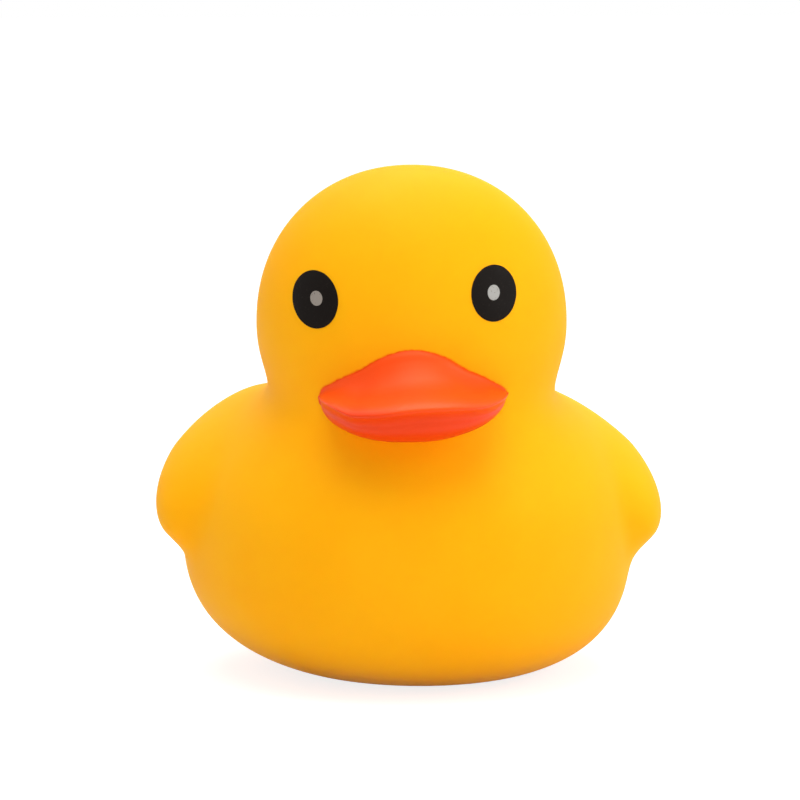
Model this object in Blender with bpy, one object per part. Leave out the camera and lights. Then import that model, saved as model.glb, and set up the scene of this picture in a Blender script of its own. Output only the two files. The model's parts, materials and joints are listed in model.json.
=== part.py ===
"""A rubber duck: one hollow rotocast moulding of soft vinyl that stands on its flat base and faces -Y.

The outer skin is one smooth form. A ball for the head, an egg for the body, a tapering tail and a pair of
wing pads run into each other with rounded joins, and a plane cuts the flat base. The cavity follows the skin
one wall thickness in, and the bill is hollow with it. The bill, the two printed eyes and the trimmed vent in
the base are joined to it by Booleans. Lengths are in metres, +Z is up and the origin lies under the middle.
"""

import math

import bmesh
import bpy
import numpy as np

MM = 0.001

# Paints and plastic, in the order of the material slots
YELLOW, ORANGE, BLACK, WHITE = range(4)
PAINTS = (
    ("soft_vinyl_yellow", (1.0, 0.48, 0.015)),
    ("bill_paint_orange", (0.9, 0.09, 0.01)),
    ("eye_print_black", (0.012, 0.009, 0.008)),
    ("eye_print_white", (0.75, 0.73, 0.7)),
)

# The wall and the vent in the base
WALL = 2.0 * MM
VENT_RADIUS = 4.0 * MM
VENT_LIP = 0.5 * MM
VENT_SIDES = 32

# Body: an egg with its widest place at BODY_CENTRE
BODY_CENTRE = (0.0, 2.0 * MM, 26.9 * MM)
BODY_HALF_WIDTH = 41.2 * MM
BODY_FRONT = 46.0 * MM
BODY_REAR = 39.0 * MM
BODY_UP = 30.3 * MM
BODY_DOWN = 28.3 * MM
BODY_POWERS = (2.72, 2.15)
BASE_ROUNDING = 1.4 * MM
LEAN = 2.1 * MM
LEAN_TOP = 24.0 * MM

# Head: very nearly a ball
HEAD_CENTRE = (0.0, -9.0 * MM, 65.0 * MM)
HEAD_HALF_WIDTH = 28.0 * MM
HEAD_DEPTH = 28.0 * MM
HEAD_UP = 28.2 * MM
HEAD_DOWN = 24.9 * MM
HEAD_POWERS = (2.07, 2.1)

# Neck: a broad, soft run from chin to chest, and a tighter one behind
NECK_BLEND_FRONT = 20.0 * MM
NECK_BLEND_REAR = 9.0 * MM
NECK_FRONT_Y = -34.0 * MM
NECK_REAR_Y = -6.0 * MM

# Tail: a cone that sweeps up to a blunt tip, its axis sagging between its ends
TAIL_ROOT = (0.0, 15.0 * MM, 29.5 * MM)
TAIL_TIP = (0.0, 44.6 * MM, 50.5 * MM)
TAIL_SAG = 2.5 * MM
TAIL_ROOT_RADIUS = 21.0 * MM
TAIL_TIP_RADIUS = 4.6 * MM
TAIL_WIDENING = 1.4
TAIL_BLEND = 12.0 * MM

# Wings: one drop-shaped pad on each side, blunt in front, narrower and higher at the rear
WING_SINK = 6.7 * MM
WING_SKEW = 0.7 * MM
WING_CENTRE = (BODY_HALF_WIDTH - WING_SINK, 4.2 * MM, 36.1 * MM)
WING_FRONT = 20.7 * MM
WING_REAR = 25.0 * MM
WING_UP = 17.0 * MM
WING_DOWN = 10.7 * MM
WING_OUT = 8.8 * MM
WING_IN = 17.0 * MM
WING_LEAN_DEG = 47.3
WING_TOE_DEG = -7.3
WING_RISE_DEG = 36.0
WING_POWERS = (2.15, 1.91)
WING_TAPER = 0.18
WING_BLEND = 2.6 * MM
WING_BLEND_ENDS = 5.0 * MM

# Bill: a broad, flat spoon over a lower half that stands back from its lip. It points a little to one side,
# as the moulding does. Its root is given by the angle round the head's axis at which the bill leaves the skin.
BILL_TURN_DEG = 3.4
LIP_HALF_WIDTH = 16.5 * MM
LIP_CENTRE_REACH = 24.6 * MM
LIP_FORWARD = 16.4 * MM
LIP_SWEEP_DEG = 111.0
ROOT_ANGLES_DEG = (-11.0, 0.0, 11.0, 20.0, 27.3, 32.6, 35.6, 37.2, 40.0)
ROOT_TOPS = tuple(height * MM for height in (61.65, 62.9, 61.65, 59.15, 57.6, 56.3, 55.6, 54.95, 54.3))
ROOT_LOWS = tuple(height * MM for height in (47.2, 46.9, 47.2, 48.35, 49.85, 51.5, 52.75, 53.5, 54.1))
LIP_OFFSETS = tuple(offset * MM for offset in (-17.0, -14.7, -11.4, -7.6, 0.0, 8.0, 13.1, 17.0))
LIP_HEIGHTS = tuple(height * MM for height in (54.3, 53.75, 52.65, 52.8, 54.0, 54.15, 54.0, 54.85))
ROOT_LOW_SHIFT_DEG = 2.2
BILL_COLUMNS = 32
# Reach from skin to lip, and height from lip to root, along the upper and the lower profile
UPPER_PROFILE = (
    (-0.22, 1.16), (0.03, 0.96), (0.1, 0.8), (0.2, 0.62), (0.33, 0.46), (0.49, 0.335), (0.65, 0.25),
    (0.79, 0.18), (0.9, 0.115), (0.965, 0.06), (0.995, 0.015),
)
LOWER_PROFILE = (
    (0.985, -0.05), (0.93, -0.13), (0.86, -0.25), (0.82, -0.35), (0.8, -0.47), (0.74, -0.63), (0.6, -0.8),
    (0.34, -0.93), (0.05, -1.0), (-0.22, -1.04),
)
BILL_CORE = (-1.2 * MM, -31.0 * MM, 52.8 * MM)
BILL_CORE_RADII = (12.0 * MM, 16.0 * MM, 3.4 * MM)
BILL_CORE_BLEND = 3.0 * MM

# Eyes: an oval print with a dot, each standing a hair above the skin so that it keeps a true edge. Both are
# printed from straight in front, and sit a little off the bill's middle.
LEFT_EYE = (-18.4 * MM, 71.15 * MM, 3.81 * MM, 5.0 * MM)
LEFT_DOT = (-18.2 * MM, 71.4 * MM, 1.0 * MM, 1.28 * MM)
RIGHT_EYE = (12.7 * MM, 72.4 * MM, 4.15 * MM, 4.87 * MM)
RIGHT_DOT = (12.6 * MM, 72.55 * MM, 1.1 * MM, 1.32 * MM)
EYE_SIDES = 36
DOT_SIDES = 20
EYE_RISE = 0.12 * MM
DOT_RISE = 0.22 * MM
PRINT_DEPTH = 0.8 * MM

# The room that the net spans, and the mesh spacing
NET_LOW = (-56.0 * MM, -56.0 * MM, -8.0 * MM)
NET_HIGH = (56.0 * MM, 62.0 * MM, 102.0 * MM)
SKIN_SPACING = 3.2 * MM
CAVITY_SPACING = 5.7 * MM
RELAX_ROUNDS = 24
RELAX_SHARE = 0.6
GATHERING = 3.0
SHARPEST_BEND = 0.4 / MM

# The search for the skin, which starts this many head depths out
SEARCH_START = 2.0
SEARCH_SHARE = 0.7
SEARCH_ROUNDS = 80


def clear_scene():
    """Remove the startup objects and the meshes they leave."""
    for obj in list(bpy.data.objects):
        bpy.data.objects.remove(obj, do_unlink=True)


def egg(points, centre, low, high, powers=(2.0, 2.0)):
    """Return near-distances to an egg, round in plan.

    Its half-axes are low and high on the two sides of the centre, and its upright sections are squarer than
    an ellipse where the powers, below and above the centre, are over 2.
    """
    offset = points - np.array(centre)
    radii = np.where(offset < 0, np.array(low), np.array(high))
    power = np.where(offset[:, 2] < 0, powers[0], powers[1])
    ratio = np.abs(offset) / radii
    plan = np.sqrt(np.maximum(ratio[:, 0] ** 2 + ratio[:, 1] ** 2, 1e-12))
    size = np.maximum(plan**power + ratio[:, 2] ** power, 1e-12) ** (1 / power)
    outward = (plan / size) ** (power - 1)
    across = outward * np.sqrt((ratio[:, 0] / radii[:, 0]) ** 2 + (ratio[:, 1] / radii[:, 1]) ** 2) / plan
    upright = (ratio[:, 2] / size) ** (power - 1) / radii[:, 2]
    return (size - 1) / np.maximum(np.hypot(across, upright), 1e-9)


def join(first, second, blend):
    """Return the union of two distances with a fillet about as wide as blend."""
    overlap = np.maximum(blend - np.abs(first - second), 0) / blend
    return np.minimum(first, second) - overlap**3 * blend / 6


def turned(axis, degrees):
    """Return the matrix of a turn about x, y or z."""
    angle = math.radians(degrees)
    cos, sin = math.cos(angle), math.sin(angle)
    rows = {
        "x": ((1, 0, 0), (0, cos, -sin), (0, sin, cos)),
        "y": ((cos, 0, sin), (0, 1, 0), (-sin, 0, cos)),
        "z": ((cos, -sin, 0), (sin, cos, 0), (0, 0, 1)),
    }
    return np.array(rows[axis], float)


def tail_distance(points):
    """Return near-distances to the swept-up tail, a cone that runs smoothly into the ball at its tip."""
    axis = np.array(TAIL_TIP) - np.array(TAIL_ROOT)
    length = np.linalg.norm(axis)
    axis = axis / length
    offset = (points - np.array(TAIL_ROOT)) / np.array((TAIL_WIDENING, 1, 1))
    part = np.clip(offset @ axis / length, 0, 1)
    offset[:, 2] += 4 * TAIL_SAG * part * (1 - part)
    along = offset @ axis
    aside = np.linalg.norm(offset - along[:, None] * axis, axis=1)
    slope = (TAIL_ROOT_RADIUS - TAIL_TIP_RADIUS) / length
    part = np.clip((along - aside * slope / math.sqrt(1 - slope**2)) / length, 0, 1)
    return np.hypot(along - part * length, aside) - TAIL_ROOT_RADIUS + slope * length * part


def wing_place(points):
    """Return points in the frame of the wing on their side: thickness, length and height."""
    heights = points[:, 2] + WING_SKEW * np.tanh(points[:, 0] / BODY_HALF_WIDTH * 4)
    mirrored = np.column_stack([np.abs(points[:, 0]), points[:, 1], heights])
    frame = turned("z", WING_TOE_DEG) @ turned("y", -WING_LEAN_DEG) @ turned("x", WING_RISE_DEG)
    return (mirrored - np.array(WING_CENTRE)) @ frame


def wing_distance(local):
    """Return near-distances to a wing pad, in its own frame."""
    width = 1 - WING_TAPER * np.clip(local[:, 1] / WING_REAR, 0, 1.5)
    local = local / np.column_stack([width, np.ones(len(width)), width])
    low = (WING_IN, WING_FRONT, WING_DOWN)
    high = (WING_OUT, WING_REAR, WING_UP)
    return egg(local, (0, 0, 0), low, high, WING_POWERS) * np.clip(width, 0.4, 1)


def skin_distance(points):
    """Return near-distances to the duck without its bill, under zero inside."""
    lowness = np.clip(1 - points[:, 2] / LEAN_TOP, 0, 1) ** 2
    points = points - np.stack([LEAN * lowness, 0 * lowness, 0 * lowness], axis=1)
    low = (BODY_HALF_WIDTH, BODY_FRONT, BODY_DOWN)
    high = (BODY_HALF_WIDTH, BODY_REAR, BODY_UP)
    body = egg(points, BODY_CENTRE, low, high, BODY_POWERS)
    body = join(body, tail_distance(points), TAIL_BLEND)
    local = wing_place(points)
    outermost = np.clip(np.maximum(-local[:, 1] / WING_FRONT, local[:, 1] / WING_REAR), 0, 1)
    body = join(body, wing_distance(local), WING_BLEND + (WING_BLEND_ENDS - WING_BLEND) * outermost)
    low = (HEAD_HALF_WIDTH, HEAD_DEPTH, HEAD_DOWN)
    high = (HEAD_HALF_WIDTH, HEAD_DEPTH, HEAD_UP)
    head = egg(points, HEAD_CENTRE, low, high, HEAD_POWERS)
    rearward = np.clip((points[:, 1] - NECK_FRONT_Y) / (NECK_REAR_Y - NECK_FRONT_Y), 0, 1)
    rearward = rearward**2 * (3 - 2 * rearward)
    whole = join(body, head, NECK_BLEND_FRONT + (NECK_BLEND_REAR - NECK_BLEND_FRONT) * rearward)
    return -join(-whole, points[:, 2], BASE_ROUNDING)


def cavity_distance(points):
    """Return near-distances to the hollow inside, which runs on into the bill."""
    core = egg(points, BILL_CORE, BILL_CORE_RADII, BILL_CORE_RADII)
    return join(skin_distance(points) + WALL, core, BILL_CORE_BLEND)


def settled(points, distance, rounds=4, reach=3 * MM):
    """Return the points moved onto the surface where the distance is zero."""
    step = 0.02 * MM
    for _ in range(rounds):
        slope = np.empty_like(points)
        for axis in range(3):
            shift = np.zeros(3)
            shift[axis] = step
            slope[:, axis] = (distance(points + shift) - distance(points - shift)) / (2 * step)
        move = distance(points) / np.maximum((slope**2).sum(axis=1), 0.05)
        points = points - np.clip(move, -reach, reach)[:, None] * slope
    return points


def bend(points, distance):
    """Return how sharply the surface bends at each point, from 0 to 1."""
    step = 1 * MM
    change = -6 * distance(points)
    for axis in range(3):
        shift = np.zeros(3)
        shift[axis] = step
        change = change + distance(points + shift) + distance(points - shift)
    return np.clip(np.abs(change) / step**2 / SHARPEST_BEND, 0, 1)


def relaxed(points, edges, distance):
    """Return the points spread over the surface, closer together where it bends sharply."""
    ends = np.concatenate([edges, edges[:, ::-1]])
    for _ in range(RELAX_ROUNDS):
        pull = (1 + GATHERING * bend(points, distance))[ends[:, 1]]
        total = np.bincount(ends[:, 0], pull, len(points))
        middle = np.stack(
            [np.bincount(ends[:, 0], pull * points[ends[:, 1], axis], len(points)) for axis in range(3)], axis=1
        )
        points = points + RELAX_SHARE * (middle / total[:, None] - points)
        points = settled(points, distance, rounds=1)
    return settled(points, distance)


def link(mesh, name):
    """Return a new object of this mesh, linked to the scene."""
    obj = bpy.data.objects.new(name, mesh)
    bpy.context.scene.collection.objects.link(obj)
    return obj


def net(distance, spacing):
    """Return the points and quads of a net close to the surface where the distance is zero.

    It has a point in each cell of a grid that the surface passes through, and a quad round each grid line
    that the surface cuts.
    """
    low, high = np.array(NET_LOW), np.array(NET_HIGH)
    axes = [np.arange(low[axis], high[axis], spacing) for axis in range(3)]
    corners = np.stack(np.meshgrid(*axes, indexing="ij"), axis=-1)
    counts = np.array(corners.shape[:3])
    inside = (distance(corners.reshape(-1, 3)) < 0).reshape(counts)
    total = np.zeros(counts - 1, int)
    for step in np.ndindex(2, 2, 2):
        total += inside[tuple(slice(step[axis], counts[axis] - 1 + step[axis]) for axis in range(3))]
    cut = (total > 0) & (total < 8)
    number = np.full(cut.shape, -1)
    number[cut] = np.arange(cut.sum())
    points = corners[:-1, :-1, :-1][cut] + spacing / 2
    quads = []
    for axis in range(3):
        here, there = np.moveaxis(inside, axis, 0)[:-1], np.moveaxis(inside, axis, 0)[1:]
        for leaving in (True, False):
            places = np.argwhere((here & ~there) if leaving else (there & ~here))
            grid = np.empty_like(places)
            others = [other for other in range(3) if other != axis]
            grid[:, axis], grid[:, others[0]], grid[:, others[1]] = places.T
            ring = np.zeros((4, 3), int)
            ring[:, (axis + 1) % 3] = (-1, 0, 0, -1)
            ring[:, (axis + 2) % 3] = (-1, -1, 0, 0)
            around = grid[:, None] + (ring if leaving else ring[::-1])
            quads.append(number[around[..., 0], around[..., 1], around[..., 2]])
    return points, np.concatenate(quads)


def fitted_form(name, distance, spacing):
    """Return a closed object whose vertices lie on the surface of this distance."""
    points, quads = net(distance, spacing)
    mesh = bpy.data.meshes.new(name)
    mesh.from_pydata(points.tolist(), [], quads.tolist())
    edges = np.empty(len(mesh.edges) * 2, int)
    mesh.edges.foreach_get("vertices", edges)
    points = settled(points, distance, rounds=6)
    points = relaxed(points, edges.reshape(-1, 2), distance)
    mesh.vertices.foreach_set("co", points.reshape(-1))
    mesh.update()
    return link(mesh, name)


def skin_reach(directions, heights):
    """Return how far the skin lies from the head's upright axis, in these directions at these heights."""
    reach = np.full(len(heights), SEARCH_START * HEAD_DEPTH)
    for _ in range(SEARCH_ROUNDS):
        plan = np.array(HEAD_CENTRE[:2]) + directions * reach[:, None]
        reach = reach - SEARCH_SHARE * skin_distance(np.column_stack([plan, heights]))
    return reach


def smooth_table(values, knots, heights):
    """Return a smooth curve through a table's points, read at these values."""
    knots = np.array(knots)
    heights = np.array(heights)
    slopes = np.gradient(heights, knots)
    place = np.clip(np.searchsorted(knots, values) - 1, 0, len(knots) - 2)
    span = knots[place + 1] - knots[place]
    part = np.clip((values - knots[place]) / span, 0, 1)
    start, end = heights[place], heights[place + 1]
    rise, fall = slopes[place] * span, slopes[place + 1] * span
    cubic = (2 * part**3 - 3 * part**2 + 1) * start + (3 * part**2 - 2 * part**3) * end
    return cubic + (part**3 - 2 * part**2 + part) * rise + (part**3 - part**2) * fall


def paints_of(mesh):
    """Give the mesh the four paint slots."""
    for name, colour in PAINTS:
        paint = bpy.data.materials.get(name) or bpy.data.materials.new(name)
        paint.diffuse_color = (*colour, 1.0)
        mesh.materials.append(paint)


def painted_solid(name, points, faces, paint):
    """Return a closed object of these faces in one paint, hidden from the finished part."""
    mesh = bpy.data.meshes.new(name)
    mesh.from_pydata([tuple(point) for point in points], [], faces)
    form = bmesh.new()
    form.from_mesh(mesh)
    bmesh.ops.recalc_face_normals(form, faces=form.faces)
    form.to_mesh(mesh)
    form.free()
    paints_of(mesh)
    mesh.polygons.foreach_set("material_index", [paint] * len(mesh.polygons))
    obj = link(mesh, name)
    obj.hide_render = True
    return obj


def bill_points():
    """Return the bill's surface points as an array of columns by profile steps."""
    sweep = np.radians(np.linspace(-LIP_SWEEP_DEG, LIP_SWEEP_DEG, BILL_COLUMNS + 1))
    across = LIP_HALF_WIDTH * np.sin(sweep)
    forward = LIP_CENTRE_REACH + LIP_FORWARD * np.cos(sweep)
    angle = np.arctan2(across, forward)
    lip_reach = np.hypot(across, forward)
    turn = angle - math.radians(BILL_TURN_DEG)
    directions = np.column_stack([np.sin(turn), -np.cos(turn)])
    top = smooth_table(np.abs(np.degrees(angle)), ROOT_ANGLES_DEG, ROOT_TOPS)
    low = smooth_table(np.abs(np.degrees(angle) + ROOT_LOW_SHIFT_DEG), ROOT_ANGLES_DEG, ROOT_LOWS)
    lip = np.clip(smooth_table(across, LIP_OFFSETS, LIP_HEIGHTS), low, top)
    rows = []
    for reach_part, height_part in UPPER_PROFILE + LOWER_PROFILE:
        height = lip + height_part * (top - lip if height_part > 0 else lip - low)
        skin = skin_reach(directions, np.clip(height, low, top))
        reach = skin + reach_part * np.maximum(lip_reach - skin, 1.0 * MM) + np.minimum(lip_reach - skin, 0)
        plan = np.array(HEAD_CENTRE[:2]) + directions * reach[:, None]
        rows.append(np.column_stack([plan, height]))
    return np.array(rows).transpose(1, 0, 2)


def make_bill():
    """Return the bill as one closed solid whose root ends inside the head's wall."""
    grid = bill_points()
    columns, steps = grid.shape[:2]
    faces = []
    for column in range(columns - 1):
        for step in range(steps):
            after = (step + 1) % steps
            here, there = column * steps, (column + 1) * steps
            faces.append((here + step, here + after, there + after, there + step))
    faces.append(tuple(range(steps)))
    faces.append(tuple(reversed(range((columns - 1) * steps, columns * steps))))
    return painted_solid("bill", grid.reshape(-1, 3), faces, ORANGE)


def on_skin(across, heights, rise):
    """Return the points of the face straight ahead of these, this far outside the skin."""
    ahead = HEAD_CENTRE[1] - SEARCH_START * HEAD_DEPTH
    points = np.column_stack([across, np.full(len(across), ahead), heights])
    for _ in range(SEARCH_ROUNDS):
        points[:, 1] += SEARCH_SHARE * (skin_distance(points) - rise)
    return points


def make_print(name, oval, sides, rise, paint):
    """Return an oval print as a thin pad that follows the skin and reaches a little into it."""
    middle_x, middle_z, half_width, half_height = oval
    turn = np.linspace(0, 2 * math.pi, sides, endpoint=False)
    rings = (1.0, 0.66, 0.33)
    across = np.concatenate([middle_x + half_width * size * np.cos(turn) for size in rings] + [[middle_x]])
    heights = np.concatenate([middle_z + half_height * size * np.sin(turn) for size in rings] + [[middle_z]])
    outside = on_skin(across, heights, rise)
    inside = on_skin(across[:sides], heights[:sides], -PRINT_DEPTH)
    points = np.concatenate([outside, inside])
    first_inside = len(outside)
    faces = [tuple(first_inside + side for side in range(sides))]
    for side in range(sides):
        after = (side + 1) % sides
        faces.append((side, after, first_inside + after, first_inside + side))
        for ring in range(len(rings) - 1):
            near, far = ring * sides, (ring + 1) * sides
            faces.append((near + side, far + side, far + after, near + after))
        last = (len(rings) - 1) * sides
        faces.append((last + side, first_inside - 1, last + after))
    return painted_solid(name, points, faces, paint)


def make_vent():
    """Return the cutter of the vent, a round hole with an eased edge at the base."""
    turn = np.linspace(0, 2 * math.pi, VENT_SIDES, endpoint=False)
    circle = np.column_stack([np.cos(turn), np.sin(turn)])
    levels = ((VENT_RADIUS + 2 * VENT_LIP, -VENT_LIP), (VENT_RADIUS, VENT_LIP), (VENT_RADIUS, 3 * WALL))
    points = [np.column_stack([circle * radius, np.full(VENT_SIDES, height)]) for radius, height in levels]
    faces = [tuple(range(VENT_SIDES)), tuple(reversed(range(2 * VENT_SIDES, 3 * VENT_SIDES)))]
    for level in range(2):
        for side in range(VENT_SIDES):
            after = (side + 1) % VENT_SIDES
            near, far = level * VENT_SIDES, (level + 1) * VENT_SIDES
            faces.append((near + side, near + after, far + after, far + side))
    return painted_solid("vent_cutter", np.concatenate(points), faces, YELLOW)


def combine(obj, other, operation):
    """Join another solid to this one, or cut it away, and keep the paint of each face."""
    modifier = obj.modifiers.new(other.name, "BOOLEAN")
    modifier.operation = operation
    modifier.solver = "EXACT"
    modifier.object = other


def main():
    """Build the duck."""
    clear_scene()
    duck = fitted_form("duck_shell", skin_distance, SKIN_SPACING)
    paints_of(duck.data)
    cavity = fitted_form("cavity_cutter", cavity_distance, CAVITY_SPACING)
    paints_of(cavity.data)
    cavity.hide_render = True
    combine(duck, make_bill(), "UNION")
    combine(duck, make_print("left_eye_print", LEFT_EYE, EYE_SIDES, EYE_RISE, BLACK), "UNION")
    combine(duck, make_print("right_eye_print", RIGHT_EYE, EYE_SIDES, EYE_RISE, BLACK), "UNION")
    combine(duck, make_print("left_eye_dot", LEFT_DOT, DOT_SIDES, DOT_RISE, WHITE), "UNION")
    combine(duck, make_print("right_eye_dot", RIGHT_DOT, DOT_SIDES, DOT_RISE, WHITE), "UNION")
    combine(duck, cavity, "DIFFERENCE")
    combine(duck, make_vent(), "DIFFERENCE")


if __name__ == "__main__":
    main()
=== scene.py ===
"""The looks of the rubber duck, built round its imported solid.

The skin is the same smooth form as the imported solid's, at a far finer spacing: a ball for the head, an egg
for the body, a tail and two wing pads that run into each other with rounded joins. The bill is a crisp shape
of its own joined to it, and its paint ends in a soft edge of overspray. The eyes are thin prints that follow
the skin. Lengths are in metres, the duck faces -Y and +Z is up.
"""

from __future__ import annotations

import json
import logging
import math
from collections.abc import Callable, Sequence
from dataclasses import dataclass
from enum import Enum

import bmesh
import bpy
import numpy as np
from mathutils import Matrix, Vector
from mathutils.kdtree import KDTree

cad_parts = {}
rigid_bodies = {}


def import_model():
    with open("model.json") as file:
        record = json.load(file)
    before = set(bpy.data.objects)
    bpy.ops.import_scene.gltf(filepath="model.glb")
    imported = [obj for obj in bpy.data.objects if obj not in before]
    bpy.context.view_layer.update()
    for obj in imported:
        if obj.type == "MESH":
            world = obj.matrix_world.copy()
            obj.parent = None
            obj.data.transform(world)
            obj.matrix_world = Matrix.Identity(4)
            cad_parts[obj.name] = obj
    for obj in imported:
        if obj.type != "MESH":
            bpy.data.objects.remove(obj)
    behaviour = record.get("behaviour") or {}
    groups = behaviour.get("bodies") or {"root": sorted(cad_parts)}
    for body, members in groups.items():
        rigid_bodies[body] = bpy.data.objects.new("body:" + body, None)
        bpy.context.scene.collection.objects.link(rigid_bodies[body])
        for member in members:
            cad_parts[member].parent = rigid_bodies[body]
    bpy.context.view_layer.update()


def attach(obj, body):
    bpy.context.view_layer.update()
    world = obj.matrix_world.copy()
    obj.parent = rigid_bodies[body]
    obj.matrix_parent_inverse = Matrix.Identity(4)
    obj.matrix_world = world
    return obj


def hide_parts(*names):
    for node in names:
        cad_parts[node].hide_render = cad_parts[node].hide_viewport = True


MM = 0.001
# These two keep a divisor or the base of a power above zero.
NEAR_ZERO = 1e-12
LEAST_STEEPNESS = 1e-9
# The numbers of the moulding's two material slots.
BARE, PAINTED = 0, 1
Distance = Callable[[np.ndarray], np.ndarray]
Colour = tuple[float, float, float]
WHITE: Colour = (1.0, 1.0, 1.0)
log = logging.getLogger("duck")


class Axis(Enum):
    """The axis of a turn."""

    X = 0
    Y = 1
    Z = 2


class Merge(Enum):
    """What becomes of the second of two solids, under Blender's name for it."""

    JOIN = "UNION"
    CUT_AWAY = "DIFFERENCE"


def turn_matrix(axis: Axis, degrees: float) -> np.ndarray:
    """Make the matrix of a turn.

    Args:
        axis: The axis to turn about.
        degrees: The angle, right-handed.

    Returns:
        A 3 by 3 matrix.
    """
    cos, sin = math.cos(math.radians(degrees)), math.sin(math.radians(degrees))
    first, second = (axis.value + 1) % 3, (axis.value + 2) % 3
    matrix = np.eye(3)
    matrix[first, first] = matrix[second, second] = cos
    matrix[first, second] = -sin
    matrix[second, first] = sin
    return matrix


def smooth_join(first: np.ndarray, second: np.ndarray, blend: float | np.ndarray) -> np.ndarray:
    """Join two distances with a fillet.

    Args:
        first: Distances to one surface.
        second: Distances to the other surface.
        blend: About how wide the fillet is.

    Returns:
        Distances to the union.
    """
    overlap = np.maximum(blend - np.abs(first - second), 0) / blend
    return np.minimum(first, second) - overlap**3 * blend / 6


def ease(values: np.ndarray, start: float, end: float) -> np.ndarray:
    """Go smoothly from 0 at start to 1 at end.

    Args:
        values: Where to read the curve.
        start: The value at which it leaves 0.
        end: The value at which it reaches 1.

    Returns:
        The curve's height at each value.
    """
    part = np.clip((values - start) / (end - start), 0, 1)
    return part * part * (3 - 2 * part)


def smooth_table(values: np.ndarray, knots: Sequence[float], heights: Sequence[float]) -> np.ndarray:
    """Read a smooth curve through a table's points.

    Args:
        values: Where to read the curve.
        knots: The table's rising places.
        heights: The table's height at each place.

    Returns:
        The curve's height at each value.
    """
    places, levels = np.array(knots), np.array(heights)
    slopes = np.gradient(levels, places)
    at = np.clip(np.searchsorted(places, values) - 1, 0, len(places) - 2)
    span = places[at + 1] - places[at]
    part = np.clip((values - places[at]) / span, 0, 1)
    curve = (2 * part**3 - 3 * part**2 + 1) * levels[at] + (3 * part**2 - 2 * part**3) * levels[at + 1]
    leaving, arriving = part**3 - 2 * part**2 + part, part**3 - part**2
    return curve + (leaving * slopes[at] + arriving * slopes[at + 1]) * span


@dataclass(frozen=True)
class Egg:
    """An egg, round in plan, whose half-axes differ on the two sides of its centre."""

    centre: tuple[float, float, float]
    low: tuple[float, float, float]
    high: tuple[float, float, float]
    powers: tuple[float, float] = (2.0, 2.0)

    def distance(self, points: np.ndarray) -> np.ndarray:
        """Measure how far points are outside the egg.

        Args:
            points: Points, one to a row.

        Returns:
            Near-distances, under zero inside.
        """
        offset = points - np.array(self.centre)
        radii = np.where(offset < 0, np.array(self.low), np.array(self.high))
        power = np.where(offset[:, 2] < 0, self.powers[0], self.powers[1])
        ratio = np.abs(offset) / radii
        plan = np.sqrt(np.maximum(ratio[:, 0] ** 2 + ratio[:, 1] ** 2, NEAR_ZERO))
        size = np.maximum(plan**power + ratio[:, 2] ** power, NEAR_ZERO) ** (1 / power)
        outward = (plan / size) ** (power - 1)
        level = np.sqrt((ratio[:, 0] / radii[:, 0]) ** 2 + (ratio[:, 1] / radii[:, 1]) ** 2)
        across = outward * level / plan
        upright = (ratio[:, 2] / size) ** (power - 1) / radii[:, 2]
        return (size - 1) / np.maximum(np.hypot(across, upright), LEAST_STEEPNESS)


@dataclass(frozen=True)
class Tail:
    """A cone that sweeps up to a blunt tip, its axis sagging between its ends."""

    root: tuple[float, float, float] = (0.0, 15.0 * MM, 29.5 * MM)
    tip: tuple[float, float, float] = (0.0, 44.6 * MM, 50.5 * MM)
    sag: float = 2.5 * MM
    root_radius: float = 21.0 * MM
    tip_radius: float = 4.6 * MM
    widening: float = 1.4

    def distance(self, points: np.ndarray) -> np.ndarray:
        """Measure how far points are outside the tail.

        Args:
            points: Points, one to a row.

        Returns:
            Near-distances, under zero inside.
        """
        axis = np.array(self.tip) - np.array(self.root)
        length = np.linalg.norm(axis)
        axis = axis / length
        offset = (points - np.array(self.root)) / np.array((self.widening, 1, 1))
        part = np.clip(offset @ axis / length, 0, 1)
        offset[:, 2] += 4 * self.sag * part * (1 - part)
        along = offset @ axis
        aside = np.linalg.norm(offset - along[:, None] * axis, axis=1)
        slope = (self.root_radius - self.tip_radius) / length
        part = np.clip((along - aside * slope / math.sqrt(1 - slope**2)) / length, 0, 1)
        return np.hypot(along - part * length, aside) - self.root_radius + slope * length * part


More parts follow.
